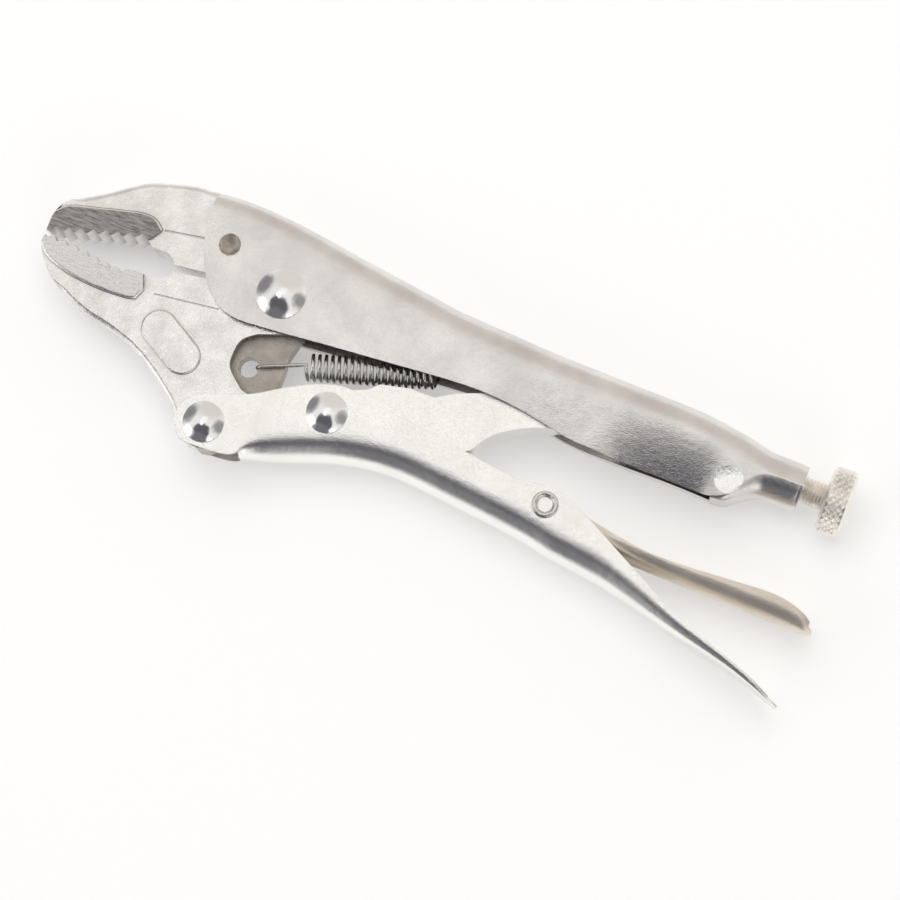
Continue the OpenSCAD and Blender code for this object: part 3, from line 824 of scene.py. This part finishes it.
@dataclass
class LowerSide:
    """The moving side: lower jaw, lower handle with its ears, and their rivets."""

    sheet: float = 2.0
    ear_r: float = 8.6
    ear_half: float = 7.6
    flange_r: float = 3.85
    stations: tuple[tuple[float, ...], ...] = (
        (-11.6, -35.0, -50.0, 7.6, 0.4, 0.4), (-6.9, -33.2, -50.0, 7.6, 0.4, 0.4),
        (0.0, -31.0, -49.7, 7.6, 0.4, 0.4), (4.0, -29.2, -48.9, 7.6, 0.4, 0.8),
        (6.0, -28.0, -48.3, 7.65, 0.4, 3.6), (9.0, -26.2, -47.4, 7.95, 0.4, 5.6),
        (13.0, -24.0, -46.4, 8.2, 0.4, 6.6), (20.0, -20.7, -44.0, 8.2, 0.4, 7.0),
        (27.0, -19.0, -41.5, 8.2, 0.4, 7.0), (33.0, -20.0, -39.8, 8.2, 0.4, 7.0),
        (42.0, -21.4, -38.3, 8.2, 0.4, 7.0), (52.0, -22.5, -38.2, 8.2, 0.4, 7.0),
        (66.0, -24.7, -39.8, 8.2, 0.4, 7.0), (80.0, -26.8, -41.5, 8.2, 0.4, 7.0),
        (91.0, -26.0, -43.2, 8.2, 0.4, 7.0), (98.0, -27.0, -44.8, 8.2, 0.4, 7.0),
        (107.0, -31.6, -46.0, 8.2, 0.4, 7.0), (114.0, -35.4, -47.1, 8.2, 0.4, 6.6),
        (122.0, -39.7, -48.9, 8.2, 0.4, 5.6), (130.0, -44.0, -51.0, 8.2, 0.4, 4.6),
        (138.0, -48.2, -52.9, 8.2, 0.3, 3.4), (146.0, -51.0, -54.7, 8.1, 0.3, 2.6),
        (155.0, -54.1, -56.8, 7.8, 0.3, 1.8), (163.0, -57.2, -59.2, 6.9, 0.2, 1.2),
        (169.0, -60.1, -61.4, 4.8, 0.2, 0.8), (172.0, -61.7, -62.5, 2.2, 0.1, 0.4))

    def ear_stations(self) -> list[Station]:
        """The round front of the ears, round the jaw rivet."""
        pivot = joint_point("lower_handle_hinge")
        stations = []
        for turn in (12, 24, 38, 51):
            reach = self.ear_r * math.cos(math.radians(turn))
            rise = self.ear_r * math.sin(math.radians(turn))
            stations.append(Station(pivot.x - reach, pivot.y + rise, max(pivot.y - rise, -50.0), self.ear_half,
                                    0.4, 0.4))
        return stations

    def handle(self) -> None:
        """The pressed lower handle with its two ears."""
        stations = self.ear_stations() + smooth_stations(self.stations, 3)
        shell = PressedChannel("lower_handle_shell", stations, self.sheet, OpenSide.TOP, both_open_until=5.2,
                               thin_from=132, thin_to=160, thin_share=0.45).build()
        dress(shell, LOWER_SKIN)
        mount_piece(shell, "lower_handle", ["lower_handle"])

    def jaw(self) -> None:
        """The lower jaw, with a soft outer edge, ground tooth cheeks and painted shade on its recessed spring
        web.
        """
        belly = ((-73, -8.0), (-68, -15.7), (-59, -21.9), (-45, -26.0), (-32.5, -30.8), (-20.6, -39.2),
                 (-15, -45.0))

        def is_belly(a: Vector, b: Vector) -> bool:
            """Picks the long edges along the outside of the jaw."""
            return on_level(LOWER_WEB_HALF, a, b) and all(
                p.y < line_height(belly, p.x) + 1.6 and -65 < p.x < -15.5 for p in (a, b))

        def is_block(a: Vector, b: Vector) -> bool:
            """Picks the outer edge of the tooth block."""
            return (on_level(TOOTH_HALF, a, b) and max(a.y, b.y) < -9.2
                    and all(p.y < -8.9 and p.x < -38 for p in (a, b)))

        def is_pad(a: Vector, b: Vector) -> bool:
            """Picks the rim of the raised oval pad."""
            return on_level(PAD_HALF, a, b)

        piece = Forging("lower_jaw", soft_edges=((1.7, is_belly), (1.0, is_block), (0.5, is_pad))).build()
        # Painted light: the lower jaw's tooth cheeks take the pale copy of the ground finish
        dress(piece, PLATED_FORGING, LIT_CHEEK, SHADED_POCKET_WEB)
        grind_cheeks(piece)
        # Painted shade: the faces of the recessed spring web take the darker third finish
        for face in piece.data.polygons:
            if abs(face.center.z - MAIN_PIVOT.z) < SPRING_WEB_HALF * MM and face.center.x > at(-8, 0).x:
                face.material_index = 2
        mount_piece(piece, "lower_jaw", ["lower_jaw"])

    def lever_rivet(self) -> None:
        """The tubular rivet: a rolled flange round a hollow on both sides."""
        face = 8.2
        outer = [(2.6, face), (self.flange_r, face), (self.flange_r, face + 0.35), (3.7, face + 0.75),
                 (3.3, face + 0.95), (2.9, face + 0.95), (2.45, face + 0.7), (2.1, face + 0.1),
                 (1.9, face - 0.6), (1.9, face - 2.0), (1.1, face - 2.0), (0.0, face - 1.7)]
        lower = [(r, -z) for r, z in reversed(outer)]
        place = joint_point("release_lever_hinge")
        piece = turned("lever_rivet_rolled", lower + outer, at(place.x, place.y), Vector((0, 0, 1)), 56)
        dress(piece, TURNED_RIVET)
        mount_piece(piece, "lower_handle", ["lever_rivet"])

    def build(self) -> None:
        """Builds the moving side."""
        self.jaw()
        self.handle()
        DomedRivet("jaw_rivet", "lower_handle", "lower_handle_hinge", 6.0, 2.5, 7.6).build()
        DomedRivet("link_rivet", "lower_handle", "toggle_link_hinge", 6.0, 2.5, 8.2).build()
        self.lever_rivet()


@dataclass
class Linkage:
    """Toggle link and return spring."""

    coil_start: tuple[float, float] = (13.5, -16.4)
    coil_end: tuple[float, float] = (50.0, -5.9)
    coil_r: float = 3.65
    wire_r: float = 0.55
    turns: int = 20
    steps: int = 24
    front_hook: tuple[tuple[float, float, float], ...] = (
        (0, -21.9, -2.2), (0, -21.9, 0), (0.1, -21.8, 2.0), (0.5, -21.6, 3.0), (1.4, -21.2, 3.4),
        (6, -19.4, 3.5), (11, -17.4, 3.65))
    rear_hook: tuple[tuple[float, float, float], ...] = (
        (52.5, -5.3, 3.4), (56, -4.3, 2.6), (60, -3.2, 2.2), (61.6, -2.6, 1.6), (62, -2.4, 0),
        (62, -2.4, -1.6))

    def link(self) -> None:
        """The channel-shaped toggle link."""
        piece = Forging("toggle_link", edge_mm=0.4).build()
        dress(piece, LOWER_SKIN)
        mount_piece(piece, "toggle_link", ["toggle_link"])

    def coil(self) -> list[Vector]:
        """Centre line of the coil."""
        start, end = Vector((*self.coil_start, 0)), Vector((*self.coil_end, 0))
        along = end - start
        up = Vector((-along.y, along.x, 0)).normalized()
        count = self.turns * self.steps
        points = []
        for i in range(count + 1):
            angle = 2 * math.pi * i / self.steps + math.pi / 2
            points.append(start + along * (i / count) + up * (self.coil_r * math.cos(angle))
                          + Vector((0, 0, self.coil_r * math.sin(angle))))
        return points

    def spring(self) -> None:
        """The return spring, drawn as one continuous wire that rides on the upper side."""
        line = [Vector(p) for p in self.front_hook] + self.coil() + [Vector(p) for p in self.rear_hook]
        curve = bpy.data.curves.new("return_spring_wire", "CURVE")
        curve.dimensions = "3D"
        curve.bevel_depth = self.wire_r * MM
        curve.bevel_resolution = 3
        curve.use_fill_caps = True
        spline = curve.splines.new("POLY")
        spline.points.add(len(line) - 1)
        for point, place in zip(spline.points, line):
            point.co = (*at(*place), 1.0)
        drawn = bpy.data.objects.new("return_spring_wire", curve)
        bpy.context.scene.collection.objects.link(drawn)
        select_only(drawn)
        bpy.ops.object.convert(target="MESH")
        piece = bpy.context.object
        settle(piece, "return_spring_wire", WIRE_SMOOTH_DEG)
        dress(piece, SPRING_WIRE)
        mount_piece(piece, "upper_side", ["return_spring"])
        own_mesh(piece)

    def build(self) -> None:
        """Builds link and spring."""
        self.link()
        self.spring()


@dataclass
class ReleaseLever:
    """The trough-shaped release lever in the lower handle."""

    sheet: float = 1.3
    stations: tuple[tuple[float, ...], ...] = (
        (70.0, -29.4, -31.8, 5.7, 0.3, 1.2), (80.0, -27.9, -34.2, 5.7, 0.3, 3.0),
        (92.0, -27.4, -36.4, 5.7, 0.3, 4.2), (104.0, -30.2, -37.4, 5.7, 0.3, 4.4),
        (115.0, -32.4, -38.0, 5.7, 0.3, 4.4), (125.0, -33.8, -38.6, 5.7, 0.3, 4.2),
        (137.0, -33.7, -39.0, 5.7, 0.3, 4.2), (150.0, -33.0, -39.5, 5.7, 0.3, 4.6),
        (161.5, -32.6, -39.9, 5.7, 0.3, 4.6), (168.5, -34.1, -40.1, 5.4, 0.3, 4.0),
        (172.0, -35.8, -40.1, 4.6, 0.2, 2.6), (174.4, -37.8, -39.8, 3.0, 0.1, 0.9))

    def build(self) -> None:
        """Builds the whole lever."""
        stations = smooth_stations(self.stations, 3)
        shell = PressedChannel("release_lever_shell", stations, self.sheet, OpenSide.TOP, lip=0.3,
                               thin_from=160, thin_to=172, thin_share=0.6).build()
        dress(shell, LEVER_SKIN)
        mount_piece(shell, "release_lever", ["release_lever"])


SCREW_Y = -1.5


@dataclass
class AdjustingScrew:
    """Threaded shank and knurled knob."""

    tip_x: float = 108.5
    knob_from: float = 165.0
    knob_to: float = 172.3
    knob_r: float = 10.0
    thread_r: float = 4.0
    thread_depth: float = 0.5
    pitch: float = 1.0
    columns: int = 28
    rows: int = 3
    knurl: float = 0.5
    chamfer: float = 0.8
    thread_steps: int = 28

    def shank(self) -> None:
        """One pitch of the thread, turned into a helix, cut square at both ends."""
        root = self.thread_r - self.thread_depth
        begin = self.tip_x - self.pitch
        wave = [(0.0, root), (0.14, root), (0.44, self.thread_r), (0.58, self.thread_r), (1.0, root)]
        points = [at(begin + share * self.pitch, SCREW_Y + radius) for share, radius in wave]
        piece = draw_line("adjusting_screw_thread", points, closed=False)
        object_mode()
        bpy.context.scene.cursor.location = at(begin, SCREW_Y)
        bpy.ops.object.origin_set(type="ORIGIN_CURSOR")
        turns = math.ceil((self.knob_from + 0.4 - begin) / self.pitch) + 1
        add_modifier(piece, "SCREW", axis="X", angle=2 * math.pi, screw_offset=self.pitch * MM,
                     iterations=turns, steps=self.thread_steps, render_steps=self.thread_steps,
                     use_merge_vertices=True, merge_threshold=1e-6, use_normal_calculate=True)
        for end, normal in ((self.tip_x, -1.0), (self.knob_from + 0.3, 1.0)):
            open_mesh(piece)
            bpy.ops.mesh.select_all(action="SELECT")
            bpy.ops.mesh.bisect(plane_co=at(end, SCREW_Y), plane_no=(normal, 0.0, 0.0), use_fill=True,
                                clear_outer=True)
            object_mode()
        settle(piece, "adjusting_screw_thread", THREAD_SMOOTH_DEG)
        dress(piece, SCREW_STEEL)
        mount_piece(piece, "adjusting_screw", ["adjusting_screw"])

    def knob(self) -> None:
        """A drum with chamfered rims whose rim is cut into pyramids by a crossed knurl."""
        drum_r = self.knob_r - self.knurl - 0.02
        length = self.knob_to - self.knob_from
        middle = at((self.knob_from + self.knob_to) / 2, SCREW_Y)
        object_mode()
        bpy.ops.object.select_all(action="DESELECT")
        bpy.ops.mesh.primitive_cylinder_add(vertices=self.columns, radius=drum_r * MM, location=middle,
                                            depth=(length - 2 * self.chamfer) * MM,
                                            rotation=(0.0, math.pi / 2, 0.0))
        piece = bpy.context.object
        select_only(piece)
        bpy.ops.object.transform_apply(location=True, rotation=True, scale=True)
        axis = at(0, SCREW_Y)

        def off_axis(place: Vector) -> float:
            """Distance of a place from the screw's axis."""
            return math.hypot(place.y - axis.y, place.z - axis.z)

        open_mesh(piece)
        pick(piece, "EDGE", lambda edge: abs(edge.verts[0].co.x - edge.verts[1].co.x) > MM)
        bpy.ops.mesh.subdivide(number_cuts=self.rows - 1)
        pick(piece, "FACE", lambda face: abs(face.normal.x) < 0.5)
        bpy.ops.mesh.poke(offset=0.0)
        limit = (drum_r - 0.01) * MM
        ends = {round(middle.x + side * (length / 2 - self.chamfer) * MM, 6) for side in (-1, 1)}
        pick(piece, "EDGE", lambda edge: all(off_axis(v.co) > limit for v in edge.verts)
             and not all(round(v.co.x, 6) in ends for v in edge.verts))
        bpy.ops.mesh.dissolve_edges(use_verts=False)
        pick(piece, "FACE", lambda face: abs(face.normal.x) < 0.5 and len(face.verts) == 4)
        bpy.ops.mesh.poke(offset=self.knurl * MM)
        pick(piece, "FACE", lambda face: abs(face.normal.x) > 0.9)
        bpy.ops.mesh.inset(thickness=1.1 * MM, depth=self.chamfer * MM, use_individual=True)
        bpy.ops.mesh.inset(thickness=1.0 * MM, depth=0.0, use_individual=True)
        bpy.ops.mesh.inset(thickness=0.5 * MM, depth=-0.35 * MM, use_individual=True)
        settle(piece, "adjusting_knob_knurled", KNURL_SMOOTH_DEG)
        dress(piece, SCREW_STEEL)
        mount_piece(piece, "adjusting_knob", ["adjusting_knob"])

    def build(self) -> None:
        """Builds shank and knob."""
        self.shank()
        self.knob()


# ------------------------------------------------------------------ studio

@dataclass(frozen=True)
class Glow:
    """A patch of the room as the metal sees it: direction, inner and outer angle in degrees, and colour."""

    direction: tuple[float, float, float]
    inner: float
    outer: float
    colour: tuple[float, float, float]


@dataclass(frozen=True)
class Studio:
    """White table, soft light and the camera."""

    eye_distance: float = 0.8
    focal_mm: float = 112.0
    look_at: tuple[float, float] = (60.7, -24.9)
    forward: tuple[float, float, float] = (-0.1336, 0.1434, -0.9806)
    right: tuple[float, float, float] = (0.9322, 0.3540, -0.0752)
    room: tuple[float, float, float] = (0.90, 0.88, 0.85)
    table_tone: float = 0.75
    table_glow: float = 0.34
    glows: tuple[Glow, ...] = (
        Glow((-0.05, 0.86, 0.50), 24, 52, (0.76, 0.71, 0.66)),
        Glow((-0.06, -0.50, 0.86), 25, 33, (0.11, 0.11, 0.125)),
        Glow((-0.10, -0.90, 0.42), 18, 34, (0.17, 0.17, 0.185)),
        Glow((-0.92, 0.27, 0.29), 12, 34, (0.25, 0.245, 0.25)),
        Glow((0.78, 0.10, 0.62), 8, 30, (0.32, 0.31, 0.30)),
        Glow((-0.755, -0.52, 0.40), 10, 20, (1.5, 1.5, 1.5)),
        Glow((0.51, -0.74, 0.41), 7, 15, (1.4, 1.4, 1.4)),
        Glow((-0.10, 0.17, 0.98), 10, 15, (1.04, 1.03, 1.0)),
        Glow((-0.20, -0.03, 0.98), 3.5, 8, (1.6, 1.6, 1.6)),
    )

    def camera(self) -> None:
        """Places the camera at its viewing angle."""
        data = bpy.data.cameras.new("bench_camera")
        data.lens = self.focal_mm
        data.sensor_width = 36.0
        camera = bpy.data.objects.new("bench_camera", data)
        bpy.context.scene.collection.objects.link(camera)
        back = -Vector(self.forward).normalized()
        side = Vector(self.right)
        side = (side - back * side.dot(back)).normalized()
        up = back.cross(side)
        turn = Matrix((side, up, back)).transposed().to_4x4()
        place = at(*self.look_at) + back * self.eye_distance
        camera.matrix_world = Matrix.Translation(place) @ turn
        bpy.context.scene.camera = camera

    def table(self) -> None:
        """A plain white table top."""
        object_mode()
        bpy.ops.object.select_all(action="DESELECT")
        bpy.ops.mesh.primitive_plane_add(size=6.0, location=(0.0, 0.0, -0.0002))
        table = bpy.context.object
        table.name = "table"
        paint = bpy.data.materials.new("table_white")
        paint.use_nodes = True
        shader = paint.node_tree.nodes["Principled BSDF"]
        shader.inputs["Base Color"].default_value = (self.table_tone,) * 3 + (1.0,)
        shader.inputs["Roughness"].default_value = 0.9
        shader.inputs["Specular IOR Level"].default_value = 0.1
        shader.inputs["Emission Color"].default_value = (1.0, 1.0, 1.0, 1.0)
        shader.inputs["Emission Strength"].default_value = self.table_glow
        table.data.materials.append(paint)

    def surroundings(self) -> None:
        """A bright room with darker gaps for the metal to reflect."""
        world = bpy.data.worlds.new("studio")
        bpy.context.scene.world = world
        world.use_nodes = True
        nodes, links = world.node_tree.nodes, world.node_tree.links
        coords = nodes.new("ShaderNodeTexCoord")
        colour = None
        for glow in self.glows:
            dot = nodes.new("ShaderNodeVectorMath")
            dot.operation = "DOT_PRODUCT"
            dot.inputs[1].default_value = Vector(glow.direction).normalized()
            links.new(coords.outputs["Generated"], dot.inputs[0])
            edge = nodes.new("ShaderNodeMapRange")
            edge.interpolation_type = "SMOOTHSTEP"
            edge.inputs["From Min"].default_value = math.cos(math.radians(glow.outer))
            edge.inputs["From Max"].default_value = math.cos(math.radians(glow.inner))
            links.new(dot.outputs["Value"], edge.inputs["Value"])
            mix = nodes.new("ShaderNodeMix")
            mix.data_type = "RGBA"
            mix.clamp_result = False
            mix.inputs["A"].default_value = (*self.room, 1.0)
            mix.inputs["B"].default_value = (*glow.colour, 1.0)
            links.new(edge.outputs["Result"], mix.inputs["Factor"])
            if colour is not None:
                links.new(colour, mix.inputs["A"])
            colour = mix.outputs["Result"]
        links.new(colour, nodes["Background"].inputs["Color"])
        nodes["Background"].inputs["Strength"].default_value = 1.0

    def lamp(self, name: str, place: Vector, size: float, power: float) -> None:
        """A soft square lamp that faces the tool and isn't mirrored in it."""
        data = bpy.data.lights.new(name, "AREA")
        data.size = size
        data.energy = power
        lamp = bpy.data.objects.new(name, data)
        bpy.context.scene.collection.objects.link(lamp)
        lamp.matrix_world = Matrix.Translation(place) @ (-place).to_track_quat("-Z", "Y").to_matrix().to_4x4()
        lamp.visible_glossy = False

    def build(self) -> None:
        """Sets up camera, table and light."""
        self.camera()
        self.table()
        self.surroundings()
        self.lamp("overhead_softbox", Vector((-0.3, 0.4, 1.6)), 1.4, 9.0)
        bpy.context.scene.view_settings.view_transform = "Standard"


def main() -> None:
    """Builds every sub-assembly in order."""
    logging.basicConfig(level=logging.INFO, format="%(name)s: %(message)s")
    Studio().build()
    UpperSide().build()
    LowerSide().build()
    Linkage().build()
    ReleaseLever().build()
    AdjustingScrew().build()
    object_mode()


if __name__ == "__main__":
    main()
